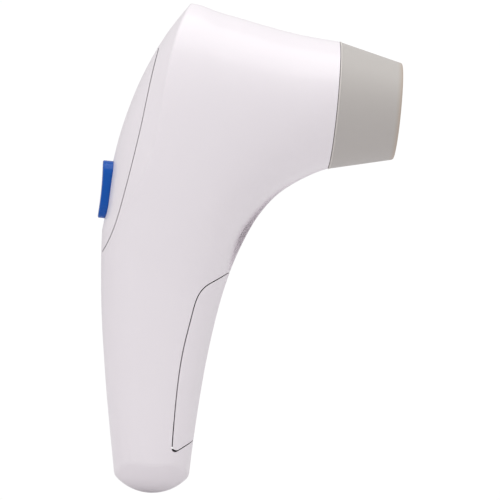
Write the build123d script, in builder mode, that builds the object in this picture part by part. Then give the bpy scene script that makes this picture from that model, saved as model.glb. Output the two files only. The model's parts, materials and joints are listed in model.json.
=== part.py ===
from build123d import *
import math
import os

os.makedirs("parts", exist_ok=True)

# Frame: origin at the centre of the nose's front rim, +X along the optical axis
# towards the target, +Z up along the handle, Y across the width. Millimetres.

# ---- outer form ----
wall = 2.2               # housing wall
barrel_front = -25.3     # X of the barrel's front edge
barrel_r = 24.9          # its radius
end_cap_r = 18.9         # ball that rounds the lower end of the handle
end_cap_x = -83.0
end_cap_z = -138.0
end_round = 3.5
crease_round = 0.9

# Each station is a closed outline in a plane that fans round the inside of the bend:
# (underside point), (top or back point), half width, squareness of the outline.
# The first and last stations lie past the ends, which are cut off.
stations = [
    ((-14.0, -22.6), (-8.0, 23.6), 23.0, 2.0),
    ((-25.3, -24.9), (-25.3, 24.9), 24.9, 2.0),
    ((-36.0, -30.6), (-42.0, 26.3), 26.0, 2.0),
    ((-44.0, -37.0), (-59.0, 29.2), 27.0, 2.05),
    ((-49.6, -44.2), (-74.0, 32.1), 27.8, 2.08),
    ((-53.0, -50.4), (-87.0, 34.2), 28.3, 2.1),
    ((-55.8, -57.0), (-104.0, 26.0), 28.5, 2.15),
    ((-58.3, -64.4), (-113.0, -8.0), 27.4, 2.2),
    ((-60.4, -72.4), (-111.0, -40.0), 24.8, 2.3),
    ((-62.2, -81.0), (-109.9, -64.0), 22.2, 2.35),
    ((-63.9, -92.0), (-107.7, -87.0), 20.4, 2.4),
    ((-65.5, -106.0), (-104.9, -106.0), 19.1, 2.4),
    ((-66.7, -122.0), (-102.2, -122.0), 18.2, 2.4),
    ((-67.5, -138.5), (-99.1, -138.5), 17.6, 2.4),
    ((-67.9, -155.0), (-96.0, -155.0), 17.1, 2.4),
    ((-68.2, -172.0), (-93.8, -172.0), 16.8, 2.4),
]
half_points = 15
steps_between = 2

# The back of the barrel is a separate domed face: at each height, how far back it
# reaches on the centre plane and the radius of its horizontal arc.
back_levels = [
    (40.0, -82.6, 190.0),
    (31.0, -86.4, 120.0),
    (22.5, -91.9, 66.0),
    (13.5, -96.5, 51.0),
    (3.0, -100.8, 42.0),
    (-9.0, -104.5, 36.0),
    (-22.0, -107.4, 33.0),
    (-36.0, -109.0, 32.0),
    (-50.0, -109.6, 32.0),
    (-64.0, -111.5, 32.0),
]
back_span = 31.5         # wider than the barrel

# ---- seams in the side view, as (X, Z), and their gaps ----
cover_seam = [(-95.4, 15.0), (-97.7, 1.5), (-99.4, -13.0), (-101.4, -27.5),
              (-104.0, -44.0), (-106.9, -57.8), (-111.4, -68.5)]
cover_gap = 0.22
door_side = [(-67.0, -73.6), (-70.5, -77.2), (-72.9, -86.0), (-75.0, -100.0),
             (-75.9, -118.0), (-75.8, -133.5)]
door_top_out = (-36.0, -53.2)
door_low_corner = (-75.6, -140.2)
door_low_out = (-40.0, -115.5)
door_gap = 0.4

# ---- nose ----
rim_r = 18.85            # outer radius at the front rim
aperture_r = 16.0
aperture_len = 4.5
nose_back = -24.35
cone_slope = 0.24        # radius gained per millimetre towards the back
spigot_r = 21.9
spigot_bore_r = 22.2
spigot_front = -19.5
mount_back = -31.0
mount_r = 22.3
window_r = 19.6
window_seat = -26.2
light_bore_r = 17.6

# ---- optics ----
lens_tube_r = 9.0
lens_bore_r = 7.2
lens_tube_front = -28.2
lens_tube_back = -49.0
led_count = 8
led_circle_r = 13.6
chassis_screw_r = 19.5   # circle of the three screws

# ---- boards ----
board_t = 1.6
sensor_board_x = -57.6   # rear face
main_board_x = -73.6
power_board_x = -96.4
button_board_x = -98.6

# ---- battery bay, two AA cells ----
cell_r = 7.1
cell_body = 49.3
nub_r = 2.75
nub_h = 1.2
cell_x = -82.0
cell_y = 7.35
bay_top = -78.6
bay_bottom = -134.2
plate_t = 0.5

# ---- thumb button ----
button_z = -41.0
button_h = 22.5
button_w = 11.0
button_face = -112.05    # middle of the dished outer face
button_dish_r = 130.0
button_clear = 0.3
flange_back = -105.1
flange_t = 1.2
switch_back = -102.0
plunger_tip = -103.05
press_travel = 1.0

# ---- fasteners: (X, Z) of the housing screws, which run along Y ----
screw_points = [(-40.0, -24.0), (-44.0, 19.5), (-80.0, 26.0),
                (-64.0, -58.0), (-100.5, -61.0), (-84.0, -146.0)]
boss_r = 4.0
screw_seat = 6.0
screw_depth = 8.0
screw_r = 1.2
head_r = 2.4
head_h = 1.8


def save(builder, name):
    builder.part.label = name
    export_step(builder.part, f"parts/{name}.step")


# ======== outer form ========

def eased(values, place):
    """Smooth value at a place between evenly numbered stations."""
    index = min(int(place), len(values) - 2)
    u = place - index
    here = values[index]
    there = values[index + 1]
    before = values[index - 1] if index > 0 else 2 * here - there
    after = values[index + 2] if index + 2 < len(values) else 2 * there - here
    slope = there - before
    bend = 2 * before - 5 * here + 4 * there - after
    twist = 3 * (here - there) + after - before
    return here + 0.5 * u * (slope + u * (bend + u * twist))


def station_plane(inner, outer):
    """Plane through both points and along Y; its local x runs from inner to outer."""
    start = Vector(inner[0], 0, inner[1])
    end = Vector(outer[0], 0, outer[1])
    along = (end - start).normalized()
    return Plane(origin=(start + end) * 0.5, x_dir=along, z_dir=along.cross(Vector(0, 1, 0)))


def half_oval(half_length, half_width, squareness):
    """Half of a superellipse, which is a circle or ellipse at a squareness of 2."""
    points = []
    for index in range(half_points):
        angle = math.pi * index / (half_points - 1)
        c = math.cos(angle)
        s = max(math.sin(angle), 0)
        x = math.copysign(abs(c) ** (2 / squareness), c) * half_length
        points.append((x, s ** (2 / squareness) * half_width))
    return points


def back_cutter(inset):
    """Everything behind the domed back face."""
    with BuildPart() as cutter:
        for level, back_x, arc_r in back_levels:
            x = back_x + inset
            side_x = x + arc_r - math.sqrt(arc_r ** 2 - back_span ** 2)
            middle_x = x + arc_r - math.sqrt(arc_r ** 2 - back_span ** 2 / 4)
            with BuildSketch(Plane.XY.offset(level)):
                with BuildLine():
                    ThreePointArc((x, 0), (middle_x, back_span / 2), (side_x, back_span))
                    Polyline((side_x, back_span), (-150, back_span), (-150, 0), (x, 0))
                make_face()
        loft()
    return cutter.part


def end_cutter(inset):
    """Everything outside the ball that rounds the lower end."""
    r = end_cap_r - inset
    with BuildPart() as cutter:
        with BuildSketch(Plane(origin=(0, 0, end_cap_z), x_dir=(0, -1, 0), z_dir=(-1, 0, 0))):
            with BuildLine():
                ThreePointArc((0, -r), (r * math.sin(math.pi / 4), -r * math.cos(math.pi / 4)), (r, 0))
                Polyline((r, 0), (r + 20, 5), (r + 20, -r - 30), (0, -r - 30), (0, -r))
            make_face()
        revolve(axis=Axis.Z)
    return cutter.part.moved(Location((end_cap_x, 0, 0)))


def half_form(inset):
    """The +Y half of the housing's solid form, drawn in by inset."""
    columns = list(zip(*[(*inner, *outer, width, square) for inner, outer, width, square in stations]))
    with BuildPart() as form:
        for index in range((len(stations) - 1) * steps_between + 1):
            values = [eased(column, index / steps_between) for column in columns]
            inner = values[0:2]
            outer = values[2:4]
            half_length = math.dist(inner, outer) / 2 - inset
            with BuildSketch(station_plane(inner, outer)):
                with BuildLine():
                    Spline(*half_oval(half_length, values[4] - inset, values[5]),
                           tangents=[(0, 1), (0, -1)])
                    Line((-half_length, 0), (half_length, 0))
                make_face()
        loft()
        with Locations((0, 0, 0)):
            Box(-2 * barrel_front, 80, 80, mode=Mode.SUBTRACT)
        add(back_cutter(inset), mode=Mode.SUBTRACT)
        add(end_cutter(inset), mode=Mode.SUBTRACT)
    return form.part


def whole(half):
    """A half joined to its mirror image."""
    with BuildPart() as both:
        add(half, clean=False)
        add(half.mirror(Plane.XZ), clean=False)
    return both.part


def side_prism(outline):
    """A side-view outline on the side plane, run through the whole width."""
    with BuildPart() as prism:
        extrude(to_extrude=outline.face(), amount=2 * side_reach, dir=(0, -1, 0))
    return prism.part


side_reach = 45.0
side_plane = Plane.XZ.offset(-side_reach)


def shifted(points, amount):
    """The points of a curve moved sideways, to the left of its direction."""
    moved = []
    last = len(points) - 1
    for index, (x, z) in enumerate(points):
        before = points[max(index - 1, 0)]
        after = points[min(index + 1, last)]
        run = math.dist(before, after)
        moved.append((x - amount * (after[1] - before[1]) / run, z + amount * (after[0] - before[0]) / run))
    return moved


def cover_outline(grow):
    """Side view of the rear cover's region, out past the back."""
    seam = shifted(cover_seam, grow)
    with BuildSketch(side_plane) as outline:
        with BuildLine():
            Spline(*seam)
            top = seam[0][1] + 0.3 + max(grow, 0)
            Polyline(seam[-1], (-135, seam[-1][1]), (-135, top), (seam[0][0], top), seam[0])
        make_face()
    return outline.sketch


def door_outline(grow):
    """Side view of the battery door's region, out past the front."""
    side = shifted(door_side, -grow)
    top_out = (door_top_out[0], door_top_out[1] + grow)
    low_out = (door_low_out[0], door_low_out[1] - 1.25 * grow)
    low_corner = (door_low_corner[0] - grow, door_low_corner[1] - 1.9 * grow)
    with BuildSketch(side_plane) as outline:
        with BuildLine():
            Spline(*side)
            Polyline(side[-1], low_corner, low_out, top_out, side[0])
        make_face()
        low_end = outline.vertices().group_by(Axis.Y)[0]
        fillet(low_end, radius=1.5)
    return outline.sketch


outer_sharp = half_form(0)
with BuildPart() as outer_rounded:
    add(outer_sharp)
    crease = outer_rounded.edges().filter_by(
        lambda edge: edge.center().Y > 5 and edge.center().X < -80 and edge.center().Z > -60)
    fillet(crease, radius=crease_round)
    lower_edge = outer_rounded.edges().filter_by(
        lambda edge: edge.center().Y > 5 and edge.center().Z < end_cap_z)
    fillet(lower_edge, radius=end_round)

outer_half = outer_rounded.part
inner_half = half_form(wall)
web_half = half_form(wall - 0.8)     # reaches into the wall, for ribs and bosses
core_half = half_form(wall + 0.25)   # clear of the wall, for what sits inside
lip_half = half_form(wall + 1.4)

with BuildPart() as shell_half:
    add(outer_half)
    add(inner_half, mode=Mode.SUBTRACT)

shell = whole(shell_half.part)
web = whole(web_half)
core = whole(core_half)
lip_core = whole(lip_half)

cover_region = side_prism(cover_outline(0))
cover_cut = side_prism(cover_outline(cover_gap))
door_region = side_prism(door_outline(0))
door_cut = side_prism(door_outline(door_gap))


# ======== housing halves ========

def at_side(x, z, y=0):
    """Plane facing +Y at a point of the side view."""
    return Plane(origin=(x, y, z), x_dir=(1, 0, 0), z_dir=(0, 1, 0))


def side_box(x0, x1, y0, y1, z0, z1, mode=Mode.ADD):
    """A block given by its limits."""
    with Locations(((x0 + x1) / 2, (y0 + y1) / 2, (z0 + z1) / 2)):
        Box(abs(x1 - x0), abs(y1 - y0), abs(z1 - z0), mode=mode)


with BuildPart() as frame_ribs:
    # collar that grips the cone mount's groove
    side_box(-29.6, -28.2, 0, 40, -40, 40)
    # grooved rails for the main board, the power board and the button board
    side_box(main_board_x - 1.8, main_board_x + board_t + 1.8, 19.8, 40, -10, 10)
    side_box(power_board_x - 1.8, power_board_x + board_t + 1.8, 8.2, 40, -110, -80)
    side_box(button_board_x - 1.6, button_board_x + board_t + 1.6, 8.2, 40, -52, -38)
    add(web_half, mode=Mode.INTERSECT)
    with BuildSketch(Plane.YZ.offset(-40)):
        Circle(21.0)
    extrude(amount=20, mode=Mode.SUBTRACT)
    side_box(main_board_x - 0.1, main_board_x + board_t + 0.1, 0, 21.2, -30, 30, Mode.SUBTRACT)
    side_box(power_board_x - 0.1, power_board_x + board_t + 0.1, 0, 9.2, -125, -60, Mode.SUBTRACT)
    side_box(button_board_x - 0.1, button_board_x + board_t + 0.1, 0, 9.2, -60, -30, Mode.SUBTRACT)

with BuildPart() as bosses:
    for x, z in screw_points:
        with BuildSketch(at_side(x, z)):
            Circle(boss_r)
        extrude(amount=40)
    add(web_half, mode=Mode.INTERSECT)

with BuildPart() as door_side_space:
    add(outer_sharp)
    add(core_half, mode=Mode.SUBTRACT)
    add(door_cut, mode=Mode.INTERSECT)

# ledge under the door's long edges
with BuildPart() as door_ledge:
    add(web_half)
    add(lip_half, mode=Mode.SUBTRACT)
    add(side_prism(door_outline(3.0)), mode=Mode.INTERSECT)
    add(side_prism(door_outline(-1.8)), mode=Mode.SUBTRACT)
    side_box(-97, -69, 0, 40, -128, -84, Mode.INTERSECT)
    add(door_side_space.part, mode=Mode.SUBTRACT)

with BuildPart() as plain_half:
    add(shell_half.part, clean=False)
    add(cover_cut, mode=Mode.SUBTRACT)
    add(door_cut, mode=Mode.SUBTRACT)
    for piece in (frame_ribs, bosses, door_ledge):
        add(piece.part, clean=False)

with BuildPart() as housing_right:
    add(plain_half.part, clean=False)
    for x, z in screw_points:
        with BuildSketch(at_side(x, z)):
            Circle(screw_r + 0.2)
        extrude(amount=40, mode=Mode.SUBTRACT)
        with BuildSketch(at_side(x, z, screw_seat)):
            Circle(head_r + 0.3)
        extrude(amount=40, mode=Mode.SUBTRACT)
save(housing_right, "housing_right")

with BuildPart() as housing_left:
    add(plain_half.part.mirror(Plane.XZ), clean=False)
    for x, z in screw_points:
        with BuildSketch(at_side(x, z)):
            Circle(screw_r)
        extrude(amount=-screw_depth - 1, mode=Mode.SUBTRACT)
save(housing_left, "housing_left")

with BuildPart() as housing_screws:
    for x, z in screw_points:
        with BuildSketch(at_side(x, z, screw_seat)):
            Circle(head_r)
        extrude(amount=head_h)
        with BuildSketch(at_side(x, z, screw_seat)):
            Circle(screw_r)
        extrude(amount=-screw_seat - screw_depth)
        with BuildSketch(at_side(x, z, screw_seat + head_h)):
            RegularPolygon(1.1, 6)
        extrude(amount=-1.1, mode=Mode.SUBTRACT)
save(housing_screws, "housing_screws")

# ======== rear cover, thumb button and its switch ========

button_plane = Plane(origin=(0, 0, button_z), x_dir=(0, 1, 0), z_dir=(-1, 0, 0))


def button_slot(grow):
    """Upright rounded outline of the button."""
    SlotOverall(button_h + 2 * grow, button_w + 2 * grow, rotation=90)


with BuildPart() as cover_lip:
    add(web)
    add(lip_core, mode=Mode.SUBTRACT)
    add(side_prism(cover_outline(-0.35)), mode=Mode.INTERSECT)
    add(side_prism(cover_outline(-2.6)), mode=Mode.SUBTRACT)

with BuildPart() as cover_tongue:
    add(core)
    add(lip_core, mode=Mode.SUBTRACT)
    add(side_prism(cover_outline(1.6)), mode=Mode.INTERSECT)
    add(side_prism(cover_outline(-2.6)), mode=Mode.SUBTRACT)
    # room for the button board's rails and the screw boss
    side_box(-101, -93, -40, 40, -52.5, -37.5, Mode.SUBTRACT)
    side_box(-106, -95, -40, 40, -66, -56, Mode.SUBTRACT)

with BuildPart() as button_collar:
    with BuildSketch(button_plane.offset(-flange_back + 0.05)):
        button_slot(1.9)
    extrude(amount=10)
    add(web, mode=Mode.INTERSECT)

with BuildPart() as rear_cover:
    add(shell, clean=False)
    add(cover_region, mode=Mode.INTERSECT)
    for piece in (cover_lip, cover_tongue, button_collar):
        add(piece.part, clean=False)
    with BuildSketch(button_plane.offset(100)):
        button_slot(button_clear)
    extrude(amount=20, mode=Mode.SUBTRACT)
    # room for the button's flange
    with BuildSketch(button_plane.offset(100)):
        button_slot(1.9)
    extrude(amount=-flange_back + 0.05 - 100, mode=Mode.SUBTRACT)
save(rear_cover, "rear_cover")

with BuildPart() as button_flange:
    with BuildSketch(button_plane.offset(-flange_back - flange_t)):
        button_slot(1.5)
    extrude(amount=flange_t)
    add(core, mode=Mode.INTERSECT)

with BuildPart() as thumb_button:
    with BuildSketch(button_plane.offset(-flange_back)):
        button_slot(0)
    extrude(amount=10)
    dish_x = button_face - button_dish_r
    with BuildSketch(Plane.XZ.offset(-20)):
        with Locations((dish_x, button_z)):
            Circle(button_dish_r)
    extrude(amount=40, mode=Mode.SUBTRACT)
    rim = thumb_button.faces().sort_by(Axis.X)[0].edges()
    fillet(rim, radius=0.6)
    add(button_flange.part)
    with BuildSketch(button_plane.offset(-plunger_tip + 0.05)):
        Circle(2.2)
    extrude(amount=2)
save(thumb_button, "thumb_button")

with BuildPart() as button_board:
    with BuildSketch(Plane.YZ.offset(button_board_x)):
        with Locations((0, button_z)):
            Rectangle(18, 24)
            with Locations((6.5, 9.5), (-6.5, 9.5)):
                Circle(1.0, mode=Mode.SUBTRACT)
    extrude(amount=board_t)
save(button_board, "button_board")

with BuildPart() as switch_body:
    side_box(switch_back, button_board_x, -3, 3, button_z - 3, button_z + 3)
    chamfer(switch_body.edges().filter_by(Axis.X), length=0.5)
    with BuildSketch(button_plane.offset(-switch_back - 2.3)):
        Circle(1.8)
    extrude(amount=3, mode=Mode.SUBTRACT)
save(switch_body, "switch_body")

with BuildPart() as switch_plunger:
    with BuildSketch(button_plane.offset(-switch_back - 1.0)):
        Circle(1.7)
    extrude(amount=switch_back + 1.0 - plunger_tip)
save(switch_plunger, "switch_plunger")


# ======== battery door and battery bay ========

# two arms that guide the door along its slanted way in
with BuildPart() as door_arms:
    with BuildSketch(side_plane.offset(side_reach - 2.5)):
        with BuildLine():
            Polyline((-67.0, -127.6), (-74.4, -133.15), (-73.6, -134.2), (-66.2, -128.65), close=True)
        make_face()
        with BuildLine():
            Polyline((-59.4, -71.7), (-67.8, -78.0), (-67.0, -79.1), (-58.6, -72.8), close=True)
        make_face()
    extrude(amount=5)
    add(web, mode=Mode.INTERSECT)

with BuildPart() as battery_door:
    add(shell, clean=False)
    add(door_region, mode=Mode.INTERSECT)
    add(door_arms.part)
save(battery_door, "battery_door")

with BuildPart() as door_pad:
    side_box(-74.4, -60, -8, 8, -112, -98)
    add(whole(inner_half), mode=Mode.INTERSECT)
save(door_pad, "door_pad")

with BuildPart() as battery_tray:
    side_box(-92.4, -80.0, -14.5, 14.5, bay_bottom - 1.8, bay_top + 1.8)
    side_box(-92.4, -76.0, -13.0, 13.0, bay_bottom - 1.8, bay_top + 1.8)
    add(core, mode=Mode.INTERSECT)
    side_box(-81.0, -70.0, -20, 20, bay_bottom, bay_top, Mode.SUBTRACT)
    for side in (-1, 1):
        with BuildSketch(Plane.XY.offset(bay_bottom)):
            with Locations((cell_x, side * cell_y)):
                Circle(cell_r + 0.3)
        extrude(amount=bay_top - bay_bottom, mode=Mode.SUBTRACT)
save(battery_tray, "battery_tray")


def battery_cell(name, side, upright):
    """An AA cell whose raised end is up or down."""
    low = bay_bottom + plate_t + nub_h
    if upright:
        low = bay_top - plate_t - nub_h - cell_body
    with BuildPart() as cell:
        with BuildSketch(Plane.XY.offset(low)):
            with Locations((cell_x, side * cell_y)):
                Circle(cell_r)
        extrude(amount=cell_body)
        fillet(cell.edges(), radius=0.6)
        with BuildSketch(Plane.XY.offset(low + cell_body if upright else low)):
            with Locations((cell_x, side * cell_y)):
                Circle(nub_r)
        extrude(amount=nub_h if upright else -nub_h)
    save(cell, name)


battery_cell("battery_cell_left", -1, True)
battery_cell("battery_cell_right", 1, False)

with BuildPart() as contact_plates:
    # flat ends, with a tab from the upper one to the power board
    side_box(-85.5, -77.5, -11.0, -3.0, bay_top - plate_t, bay_top)
    side_box(-85.5, -77.5, 3.0, 11.0, bay_bottom, bay_bottom + plate_t)
save(contact_plates, "contact_plates")


def contact_spring(name, side, start, height):
    """Coiled contact between a cell's flat end and the bay's wall."""
    centre = (cell_x, side * cell_y, start)
    with BuildPart() as spring:
        with BuildLine():
            coil = Helix(pitch=height / 3, height=height, radius=3.6, center=centre)
        with BuildSketch(Plane(origin=coil @ 0, z_dir=coil % 0)):
            Circle(0.3)
        sweep()
    save(spring, name)


spring_h = bay_top - bay_bottom - plate_t - nub_h - cell_body
contact_spring("battery_spring_low", -1, bay_bottom + 0.35, spring_h - 0.7)
contact_spring("battery_spring_high", 1, bay_top - spring_h + 0.35, spring_h - 0.7)

with BuildPart() as power_board:
    side_box(power_board_x, power_board_x + board_t, -9, 9, -122, -68)
save(power_board, "power_board")

with BuildPart() as power_coil:
    side_box(power_board_x - 3.2, power_board_x, -3.5, 3.5, -92, -85)
    fillet(power_coil.edges().filter_by(Axis.X), radius=1.0)
save(power_coil, "power_coil")


# ======== nose ========

def ring(points, mode=Mode.ADD):
    """A body turned about the optical axis; points are (X, radius)."""
    with BuildSketch(Plane.XY) as profile:
        with BuildLine():
            Polyline(*points, close=True)
        make_face()
    revolve(profile.sketch, axis=Axis.X, mode=mode)


def ring_of(x0, x1, inner_r, outer_r):
    """A plain ring about the optical axis."""
    ring([(x0, inner_r), (x1, inner_r), (x1, outer_r), (x0, outer_r)])


cone_back_r = rim_r - cone_slope * nose_back
with BuildPart() as nose_cone:
    ring([(0, aperture_r), (0, rim_r), (nose_back, cone_back_r), (nose_back, spigot_bore_r),
          (spigot_front + 0.6, spigot_bore_r), (spigot_front + 0.6, 20.4),
          (-aperture_len, 17.4), (-aperture_len, aperture_r)])
    front_edge = nose_cone.edges().filter_by(
        lambda edge: abs(edge.center().X) < 0.1 and edge.length > 6.2 * (rim_r - 0.2))
    fillet(front_edge, radius=0.8)
save(nose_cone, "nose_cone")

with BuildPart() as nose_liner:
    ring([(-4.7, 17.2), (-4.7, 16.2), (-18.6, 19.2), (-18.6, 20.2)])
save(nose_liner, "nose_liner")

with BuildPart() as nose_seal:
    ring_of(nose_back - 0.72, nose_back, 22.6, barrel_r + 0.05)
    fillet(nose_seal.edges().sort_by(lambda edge: edge.length)[-2:], radius=0.3)
save(nose_seal, "nose_seal")

with BuildPart() as cone_mount:
    ring([(mount_back, light_bore_r), (mount_back, mount_r), (-29.7, mount_r), (-29.7, 20.9),
          (-28.1, 20.9), (-28.1, mount_r), (-25.4, mount_r), (-25.4, spigot_r),
          (-23.0, spigot_r), (-23.0, 20.9), (-21.5, 20.9), (-21.5, spigot_r),
          (spigot_front, spigot_r), (spigot_front, 19.9), (window_seat, 19.9),
          (window_seat, light_bore_r)])
    with BuildSketch(Plane.YZ.offset(mount_back)):
        with PolarLocations(chassis_screw_r, 3, start_angle=90):
            Circle(0.9)
    extrude(amount=2.6, mode=Mode.SUBTRACT)
save(cone_mount, "cone_mount")

with BuildPart() as cone_o_ring:
    with BuildSketch(Plane.XY):
        with Locations((-22.25, 21.5)):
            Circle(0.6)
    revolve(axis=Axis.X)
save(cone_o_ring, "cone_o_ring")

with BuildPart() as window_gasket:
    ring_of(window_seat, window_seat + 0.8, 17.8, 19.6)
save(window_gasket, "window_gasket")

with BuildPart() as front_window:
    with BuildSketch(Plane.YZ.offset(window_seat + 0.8)):
        Circle(window_r)
    extrude(amount=2.0)
    chamfer(front_window.edges(), length=0.3)
save(front_window, "front_window")

with BuildPart() as window_retainer:
    ring_of(window_seat + 2.8, window_seat + 4.3, 18.2, 19.85)
save(window_retainer, "window_retainer")


# ======== light ring and optics ========

with BuildPart() as light_board:
    ring_of(mount_back, mount_back + board_t, 9.6, 17.3)
save(light_board, "light_board")

with BuildPart() as light_diodes:
    with BuildSketch(Plane.YZ.offset(mount_back + board_t)):
        with PolarLocations(led_circle_r, led_count):
            Rectangle(2.8, 2.8)
    extrude(amount=1.0)
    chamfer(light_diodes.edges().group_by(Axis.X)[-1], length=0.3)
save(light_diodes, "light_diodes")

with BuildPart() as diffuser_ring:
    ring_of(-28.2, -27.2, 10.3, 17.4)
save(diffuser_ring, "diffuser_ring")

with BuildPart() as light_baffle:
    ring_of(mount_back + board_t, -26.5, 9.7, 10.2)
save(light_baffle, "light_baffle")

with BuildPart() as lens_barrel:
    ring([(lens_tube_front, lens_bore_r), (lens_tube_front, lens_tube_r), (lens_tube_back, lens_tube_r),
          (lens_tube_back, 5.5), (-44.0, 5.5), (-44.0, lens_bore_r)])
save(lens_barrel, "lens_barrel")


def lens(name, flat_x, edge_t, centre_t):
    """Lens with a flat back at flat_x and a domed front."""
    r = lens_bore_r - 0.1
    with BuildPart() as glass:
        with BuildSketch(Plane.XY):
            with BuildLine():
                rise = centre_t - edge_t
                dome_r = (r ** 2 + rise ** 2) / (2 * rise)
                half_y = math.sqrt(dome_r ** 2 - (dome_r - rise / 4) ** 2)
                ThreePointArc((flat_x + centre_t, 0), (flat_x + centre_t - rise / 4, half_y),
                              (flat_x + edge_t, r))
                Polyline((flat_x + edge_t, r), (flat_x, r), (flat_x, 0), (flat_x + centre_t, 0))
            make_face()
        revolve(axis=Axis.X)
    save(glass, name)


lens("lens_front", -33.0, 1.8, 3.2)
lens("lens_rear", -44.0, 1.6, 2.6)

with BuildPart() as lens_spacer:
    ring_of(-42.2, -33.0, 6.6, lens_bore_r - 0.05)
save(lens_spacer, "lens_spacer")

with BuildPart() as lens_retainer:
    ring_of(-30.6, -29.0, 5.8, lens_bore_r - 0.02)
save(lens_retainer, "lens_retainer")

sensor_posts = 13.0
with BuildPart() as optics_chassis:
    ring([(mount_back, lens_tube_r + 0.05), (mount_back, 21.0), (-33.0, 21.0), (-33.0, 11.2),
          (-48.0, 11.2), (-48.0, lens_tube_r + 0.05)])
    with BuildSketch(Plane.YZ.offset(-50.0)):
        Rectangle(34, 34)
        Circle(lens_tube_r + 0.05, mode=Mode.SUBTRACT)
    extrude(amount=2.0)
    with BuildSketch(Plane.YZ.offset(sensor_board_x + board_t)):
        with GridLocations(2 * sensor_posts, 2 * sensor_posts, 2, 2):
            Circle(2.4)
    extrude(amount=-50.0 - sensor_board_x - board_t)
    with BuildSketch(Plane.YZ.offset(sensor_board_x + board_t)):
        with GridLocations(2 * sensor_posts, 2 * sensor_posts, 2, 2):
            Circle(0.9)
    extrude(amount=5.0, mode=Mode.SUBTRACT)
    with BuildSketch(Plane.YZ.offset(-33.0)):
        with PolarLocations(chassis_screw_r, 3, start_angle=90):
            Circle(0.9)
    extrude(amount=2.0, mode=Mode.SUBTRACT)
save(optics_chassis, "optics_chassis")

with BuildPart() as chassis_screws:
    with BuildSketch(Plane.YZ.offset(-34.2)):
        with PolarLocations(chassis_screw_r, 3, start_angle=90):
            Circle(1.7)
    extrude(amount=1.2)
    with BuildSketch(Plane.YZ.offset(-33.0)):
        with PolarLocations(chassis_screw_r, 3, start_angle=90):
            Circle(0.9)
    extrude(amount=4.4)
save(chassis_screws, "chassis_screws")

with BuildPart() as sensor_board:
    with BuildSketch(Plane.YZ.offset(sensor_board_x)):
        RectangleRounded(34, 34, 2)
        with GridLocations(2 * sensor_posts, 2 * sensor_posts, 2, 2):
            Circle(1.1, mode=Mode.SUBTRACT)
    extrude(amount=board_t)
save(sensor_board, "sensor_board")

with BuildPart() as image_sensor:
    side_box(sensor_board_x + board_t, sensor_board_x + board_t + 1.2, -4.8, 4.8, -4.8, 4.8)
save(image_sensor, "image_sensor")

with BuildPart() as sensor_screws:
    with BuildSketch(Plane.YZ.offset(sensor_board_x - 1.2)):
        with GridLocations(2 * sensor_posts, 2 * sensor_posts, 2, 2):
            Circle(1.8)
    extrude(amount=1.2)
    with BuildSketch(Plane.YZ.offset(sensor_board_x)):
        with GridLocations(2 * sensor_posts, 2 * sensor_posts, 2, 2):
            Circle(0.85)
    extrude(amount=board_t + 4)
save(sensor_screws, "sensor_screws")


# ======== main board ========

with BuildPart() as main_board:
    with BuildSketch(Plane.YZ.offset(main_board_x)):
        RectangleRounded(42, 40, 2)
    extrude(amount=board_t)
    add(core, mode=Mode.INTERSECT)
save(main_board, "main_board")

with BuildPart() as main_processor:
    side_box(main_board_x + board_t, main_board_x + board_t + 1.4, -6, 6, -6, 6)
save(main_processor, "main_processor")

with BuildPart() as shield_can:
    side_box(main_board_x - 2.6, main_board_x, -10, 10, -14, 2)
    fillet(shield_can.edges().filter_by(Axis.X), radius=1.0)
    side_box(main_board_x - 2.3, main_board_x, -9.7, 9.7, -13.7, 1.7, Mode.SUBTRACT)
save(shield_can, "shield_can")

with BuildPart() as wireless_module:
    side_box(main_board_x - 1.9, main_board_x, -8, 8, 6, 18)
save(wireless_module, "wireless_module")

with BuildPart() as beeper:
    with BuildSketch(Plane.YZ.offset(main_board_x + board_t)):
        with Locations((13, 12)):
            Circle(4.5)
            Circle(0.9, mode=Mode.SUBTRACT)
    extrude(amount=3.4)
save(beeper, "beeper")

with BuildPart() as ribbon_cable:
    with BuildSketch(Plane.XZ.offset(-6)):
        with BuildLine():
            ThreePointArc((sensor_board_x, -12.0), (-64.8, -16.5), (main_board_x + board_t, -12.0))
            Line((main_board_x + board_t, -12.0), (main_board_x + board_t, -12.35))
            ThreePointArc((main_board_x + board_t, -12.35), (-64.8, -16.85), (sensor_board_x, -12.35))
            Line((sensor_board_x, -12.35), (sensor_board_x, -12.0))
        make_face()
    extrude(amount=12)
save(ribbon_cable, "ribbon_cable")
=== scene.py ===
import bpy
import json
import math
from mathutils import Matrix, Vector


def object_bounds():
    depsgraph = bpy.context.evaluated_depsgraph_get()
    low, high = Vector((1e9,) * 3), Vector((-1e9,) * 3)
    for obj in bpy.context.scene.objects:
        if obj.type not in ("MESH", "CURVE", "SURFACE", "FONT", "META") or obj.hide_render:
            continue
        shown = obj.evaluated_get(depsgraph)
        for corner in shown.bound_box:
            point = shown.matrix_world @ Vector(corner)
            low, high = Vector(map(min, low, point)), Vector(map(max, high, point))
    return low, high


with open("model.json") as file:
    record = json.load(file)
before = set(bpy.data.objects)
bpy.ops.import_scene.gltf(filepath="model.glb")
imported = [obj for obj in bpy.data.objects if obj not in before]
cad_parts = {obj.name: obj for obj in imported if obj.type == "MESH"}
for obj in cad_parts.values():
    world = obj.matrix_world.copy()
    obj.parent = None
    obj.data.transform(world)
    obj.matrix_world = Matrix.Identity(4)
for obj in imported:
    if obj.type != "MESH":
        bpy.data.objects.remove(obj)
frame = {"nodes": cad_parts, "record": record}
cad_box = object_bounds()
nodes = frame["nodes"]
scene = bpy.context.scene


# ---------------------------------------------------------------- materials

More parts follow.
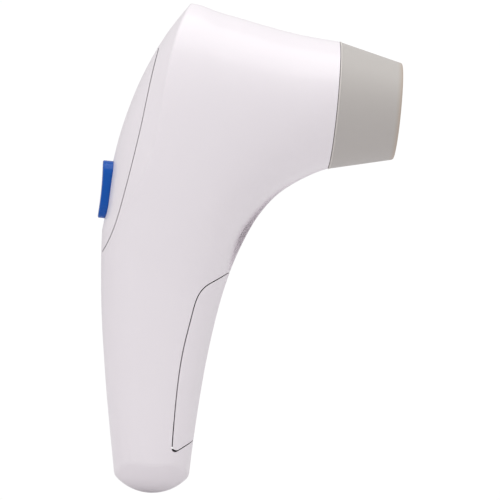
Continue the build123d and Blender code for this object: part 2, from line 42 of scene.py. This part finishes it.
class Shader:
    """A Principled material and short ways to wire it."""

    def __init__(self, name, colour, roughness, **sockets):
        self.material = bpy.data.materials.new(name)
        self.material.use_nodes = True
        self.tree = self.material.node_tree
        self.bsdf = self.tree.nodes["Principled BSDF"]
        self.bsdf.inputs["Base Color"].default_value = (*colour, 1)
        self.bsdf.inputs["Roughness"].default_value = roughness
        for key, value in sockets.items():
            self.bsdf.inputs[key.replace("_", " ")].default_value = value
        self.place = self.node("ShaderNodeTexCoord").outputs["Object"]

    def node(self, kind):
        return self.tree.nodes.new(kind)

    def link(self, a, b):
        self.tree.links.new(a, b)

    def noise(self, scale, detail=3.0):
        n = self.node("ShaderNodeTexNoise")
        n.inputs["Scale"].default_value = scale
        n.inputs["Detail"].default_value = detail
        self.link(self.place, n.inputs["Vector"])
        return n.outputs["Fac"]

    def ramp(self, value, *stops):
        r = self.node("ShaderNodeValToRGB")
        r.color_ramp.elements[0].position, r.color_ramp.elements[0].color = stops[0][0], (*stops[0][1], 1)
        r.color_ramp.elements[1].position, r.color_ramp.elements[1].color = stops[-1][0], (*stops[-1][1], 1)
        for at, colour in stops[1:-1]:
            r.color_ramp.elements.new(at).color = (*colour, 1)
        self.link(value, r.inputs["Fac"])
        return r.outputs["Color"]

    def map_range(self, value, a, b, c, d):
        m = self.node("ShaderNodeMapRange")
        for key, number in zip(("From Min", "From Max", "To Min", "To Max"), (a, b, c, d)):
            m.inputs[key].default_value = number
        self.link(value, m.inputs["Value"])
        return m.outputs["Result"]

    def colours(self, socket):
        self.link(socket, self.bsdf.inputs["Base Color"])
        return self

    def rough(self, scale, low, high):
        self.link(self.map_range(self.noise(scale), 0.3, 0.7, low, high), self.bsdf.inputs["Roughness"])
        return self

    def bump(self, height, strength, distance):
        b = self.node("ShaderNodeBump")
        b.inputs["Strength"].default_value = strength
        b.inputs["Distance"].default_value = distance
        self.link(height, b.inputs["Height"])
        self.link(b.outputs["Normal"], self.bsdf.inputs["Normal"])
        return self


def moulded(name, colour, low, high, grain=2600.0, depth=0.00002, spread=0.02, **sockets):
    """Moulded plastic: faint colour variation, uneven gloss and a fine grain."""
    s = Shader(name, colour, (low + high) / 2, **sockets)
    dark = tuple(c * (1 - spread) for c in colour)
    light = tuple(min(1.0, c * (1 + spread)) for c in colour)
    s.colours(s.ramp(s.noise(55.0, 4.0), (0.3, dark), (0.7, light)))
    s.rough(180.0, low, high)
    return s.bump(s.noise(grain, 2.0), 0.12, depth)


def metal(name, colour, low, high, scratch=900.0):
    s = Shader(name, colour, (low + high) / 2, Metallic=1.0)
    s.rough(scratch, low, high)
    s.colours(s.ramp(s.noise(300.0), (0.3, tuple(c * 0.9 for c in colour)), (0.7, colour)))
    return s.bump(s.noise(scratch, 2.0), 0.15, 0.00001)


white = moulded("white_moulded", (0.868, 0.826, 0.858), 0.29, 0.31, spread=0.004, Coat_Weight=0.12)
white.bsdf.inputs["Coat Roughness"].default_value = 0.12


def nose_grey():
    """Soft grey plastic that turns warmer over the last two millimetres before the rim."""
    s = Shader("grey_soft", (0.50, 0.475, 0.45), 0.47).rough(180.0, 0.42, 0.52)
    s.bump(s.noise(3200.0, 2.0), 0.12, 0.00002)
    along = s.node("ShaderNodeSeparateXYZ")
    s.link(s.place, along.inputs["Vector"])
    lip = s.map_range(along.outputs["X"], -0.0022, 0.0, 0.0, 1.0)
    return s.colours(s.ramp(lip, (0.0, (0.50, 0.475, 0.45)), (0.45, (0.49, 0.45, 0.41)),
                            (1.0, (0.50, 0.41, 0.33))))


grey = nose_grey()
blue = moulded("blue_gloss", (0.0, 0.085, 0.42), 0.18, 0.24, spread=0.02, Coat_Weight=0.1)
blue.bsdf.inputs["Specular IOR Level"].default_value = 0.22
black = moulded("black_moulded", (0.022, 0.022, 0.024), 0.42, 0.55)
liner = moulded("black_liner", (0.012, 0.012, 0.013), 0.55, 0.7)
# seam bead: lighter grey than the nose, a painted highlight for the light its rounded edge catches
painted_highlight_bead = moulded("bead_painted_highlight", (0.62, 0.59, 0.56), 0.5, 0.6)
seal = moulded("black_seal", (0.02, 0.02, 0.021), 0.6, 0.7)
red = moulded("plunger_red", (0.35, 0.03, 0.02), 0.35, 0.45)
foam = Shader("foam_pad", (0.05, 0.05, 0.052), 0.9).rough(400.0, 0.85, 0.95)
foam.bump(foam.noise(1500.0, 4.0), 0.7, 0.0002)
frosted = moulded("frosted_diffuser", (0.86, 0.87, 0.88), 0.55, 0.65, Transmission_Weight=0.3)
diode = moulded("diode_resin", (0.85, 0.76, 0.36), 0.15, 0.25)
chip = moulded("chip_black", (0.025, 0.025, 0.027), 0.5, 0.6)
ribbon = moulded("ribbon_film", (0.55, 0.30, 0.06), 0.25, 0.35)
foil = moulded("sensor_glass", (0.03, 0.04, 0.07), 0.06, 0.12)
steel = metal("zinc_steel", (0.55, 0.55, 0.56), 0.25, 0.4)
plated = metal("nickel_plated", (0.68, 0.67, 0.64), 0.22, 0.36)
ferrite = moulded("ferrite_core", (0.07, 0.07, 0.072), 0.6, 0.75)
anodised = metal("black_anodised", (0.05, 0.05, 0.052), 0.3, 0.4)


def cell_sleeve():
    """Dark sleeve with bare metal at both ends."""
    metal_end = (0.5, 0.5, 0.5)
    s = Shader("cell_sleeve", (0.08, 0.10, 0.13), 0.3, Coat_Weight=0.4).rough(200.0, 0.24, 0.34)
    height = s.node("ShaderNodeSeparateXYZ")
    s.link(s.place, height.inputs["Vector"])
    share = s.map_range(height.outputs["Z"], -0.134, -0.079, 0.0, 1.0)
    return s.colours(s.ramp(share, (0.0, metal_end), (0.035, metal_end), (0.045, (0.07, 0.09, 0.12)),
                            (0.95, (0.09, 0.11, 0.14)), (0.965, metal_end), (1.0, metal_end)))


sleeve = cell_sleeve()


def circuit(name, base, copper):
    """Solder resist with faint conductor lines."""
    s = Shader(name, base, 0.35, Coat_Weight=0.25)
    lines = s.node("ShaderNodeTexVoronoi")
    lines.feature = "DISTANCE_TO_EDGE"
    lines.distance = "MANHATTAN"
    lines.inputs["Scale"].default_value = 380.0
    s.link(s.place, lines.inputs["Vector"])
    s.colours(s.ramp(lines.outputs["Distance"], (0.0, copper), (0.06, copper), (0.09, base), (1.0, base)))
    s.rough(300.0, 0.3, 0.42)
    return s.bump(lines.outputs["Distance"], 0.1, 0.00002)


green = circuit("board_green", (0.012, 0.11, 0.045), (0.03, 0.19, 0.07))
pale_board = circuit("board_white", (0.72, 0.72, 0.70), (0.62, 0.62, 0.60))

clear = Shader("window_clear", (0.95, 0.98, 0.98), 0.02, Transmission_Weight=1.0, IOR=1.5)
clear.rough(120.0, 0.01, 0.03)
coated = Shader("lens_coated", (0.86, 0.90, 1.0), 0.01, Transmission_Weight=1.0, IOR=1.6)
coated.rough(150.0, 0.005, 0.02)

looks = {"white_plastic": white, "grey_plastic": grey, "black_plastic": black, "blue_plastic": blue,
         "seal_rubber": painted_highlight_bead, "seal_black": seal, "switch_plastic": red, "foam": foam, "board": green,
         "light_board": pale_board, "cell": sleeve, "plated": plated, "steel": steel, "ferrite": ferrite,
         "window_glass": clear, "lens_glass": coated, "diode": diode, "diffuser": frosted,
         "black_metal": anodised, "sensor": foil, "chip": chip, "ribbon": ribbon}
slot_of = {row["node"]: row["material_slot"] for row in frame["record"]["subparts"]}
for name, piece in nodes.items():
    look = liner if name == "nose_liner" else looks[slot_of[name]]
    if not piece.data.materials:
        piece.data.materials.append(look.material)
    for index in range(len(piece.material_slots)):
        piece.material_slots[index].material = look.material


# ---------------------------------------------------------------- floor, light and camera

def plain(name, colour, strength):
    """White seen by the camera, plain diffuse for the light that falls on it."""
    material = bpy.data.materials.new(name)
    material.use_nodes = True
    tree = material.node_tree
    tree.nodes.clear()
    seen = tree.nodes.new("ShaderNodeEmission")
    seen.inputs["Color"].default_value = (1, 1, 1, 1)
    seen.inputs["Strength"].default_value = strength
    matt = tree.nodes.new("ShaderNodeBsdfDiffuse")
    matt.inputs["Color"].default_value = colour
    mix = tree.nodes.new("ShaderNodeMixShader")
    ray = tree.nodes.new("ShaderNodeLightPath")
    out = tree.nodes.new("ShaderNodeOutputMaterial")
    tree.links.new(ray.outputs["Is Camera Ray"], mix.inputs["Fac"])
    tree.links.new(matt.outputs["BSDF"], mix.inputs[1])
    tree.links.new(seen.outputs["Emission"], mix.inputs[2])
    tree.links.new(mix.outputs["Shader"], out.inputs["Surface"])
    return material


floor_gap = 0.004
floor_reach = 3
floor_z = cad_box[0].z - floor_gap
mesh = bpy.data.meshes.new("floor")
corners = [(-1, -1), (1, -1), (1, 1), (-1, 1)]
mesh.from_pydata([(x * floor_reach, y * floor_reach, floor_z) for x, y in corners], [], [(0, 1, 2, 3)])
floor = bpy.data.objects.new("floor", mesh)
scene.collection.objects.link(floor)
floor.data.materials.append(plain("floor_white", (0.80, 0.79, 0.80, 1), 1.02))

world = bpy.data.worlds.new("studio")
scene.world = world
world.use_nodes = True
tree = world.node_tree
tree.nodes.clear()
sky = tree.nodes.new("ShaderNodeBackground")
seen = tree.nodes.new("ShaderNodeBackground")
seen.inputs["Color"].default_value = (1, 1, 1, 1)
seen.inputs["Strength"].default_value = 1.02
coord = tree.nodes.new("ShaderNodeTexCoord")
split = tree.nodes.new("ShaderNodeSeparateXYZ")
fade = tree.nodes.new("ShaderNodeValToRGB")
stretch = tree.nodes.new("ShaderNodeMapRange")
stretch.inputs["From Min"].default_value = -1.0
fade.color_ramp.elements[0].color = (0.78, 0.74, 0.75, 1)
fade.color_ramp.elements[1].color = (1.0, 1.0, 1.0, 1)
fade.color_ramp.elements.new(0.5).color = (0.74, 0.72, 0.735, 1)
sky.inputs["Strength"].default_value = 0.82
mix = tree.nodes.new("ShaderNodeMixShader")
ray = tree.nodes.new("ShaderNodeLightPath")
out = tree.nodes.new("ShaderNodeOutputWorld")
tree.links.new(coord.outputs["Generated"], split.inputs["Vector"])
tree.links.new(split.outputs["Z"], stretch.inputs["Value"])
tree.links.new(stretch.outputs["Result"], fade.inputs["Fac"])
tree.links.new(fade.outputs["Color"], sky.inputs["Color"])
tree.links.new(ray.outputs["Is Camera Ray"], mix.inputs["Fac"])
tree.links.new(sky.outputs["Background"], mix.inputs[1])
tree.links.new(seen.outputs["Background"], mix.inputs[2])
tree.links.new(mix.outputs["Shader"], out.inputs["Surface"])

middle = (cad_box[0] + cad_box[1]) / 2


def softbox(name, place, size, power, colour=(1, 1, 1)):
    """A rectangular soft light aimed at the object's middle."""
    data = bpy.data.lights.new(name, "AREA")
    data.shape = "RECTANGLE"
    data.size, data.size_y = size
    data.energy = power
    data.color = colour
    lamp = bpy.data.objects.new(name, data)
    scene.collection.objects.link(lamp)
    lamp.location = middle + Vector(place)
    lamp.rotation_euler = (-Vector(place)).to_track_quat("-Z", "Y").to_euler()


softbox("top_light", (-0.05, -0.25, 0.9), (0.9, 0.9), 4.0)
softbox("side_light", (-0.7, -0.6, 0.25), (0.5, 0.8), 0.5)

# the camera looks from the object's -Y side, a little from behind, and is rolled so that the nose dips
lens_distance = 2.0
frame_width = 0.195      # width of the view at the object
nose_right = 0.057486    # of the view's middle, for the centre of the nose opening
nose_above = 0.054015
roll = math.radians(5.4)
azimuth = math.radians(-3.0)
back = Vector((math.sin(azimuth), -math.cos(azimuth), 0))
level = Vector((math.cos(azimuth), math.sin(azimuth), 0))
up = Vector((0, 0, 1))
right = level * math.cos(roll) + up * math.sin(roll)
upward = up * math.cos(roll) - level * math.sin(roll)
target = -(right * nose_right + upward * nose_above)
camera_data = bpy.data.cameras.new("camera")
camera_data.lens = 36.0 * lens_distance / frame_width
camera_data.sensor_width = 36.0
camera = bpy.data.objects.new("camera", camera_data)
scene.collection.objects.link(camera)
turn = Matrix((right, upward, back)).transposed()
camera.matrix_world = Matrix.Translation(target + back * lens_distance) @ turn.to_4x4()
camera_data.clip_start, camera_data.clip_end = 0.05, 50.0
scene.camera = camera
scene.view_settings.view_transform = "Standard"
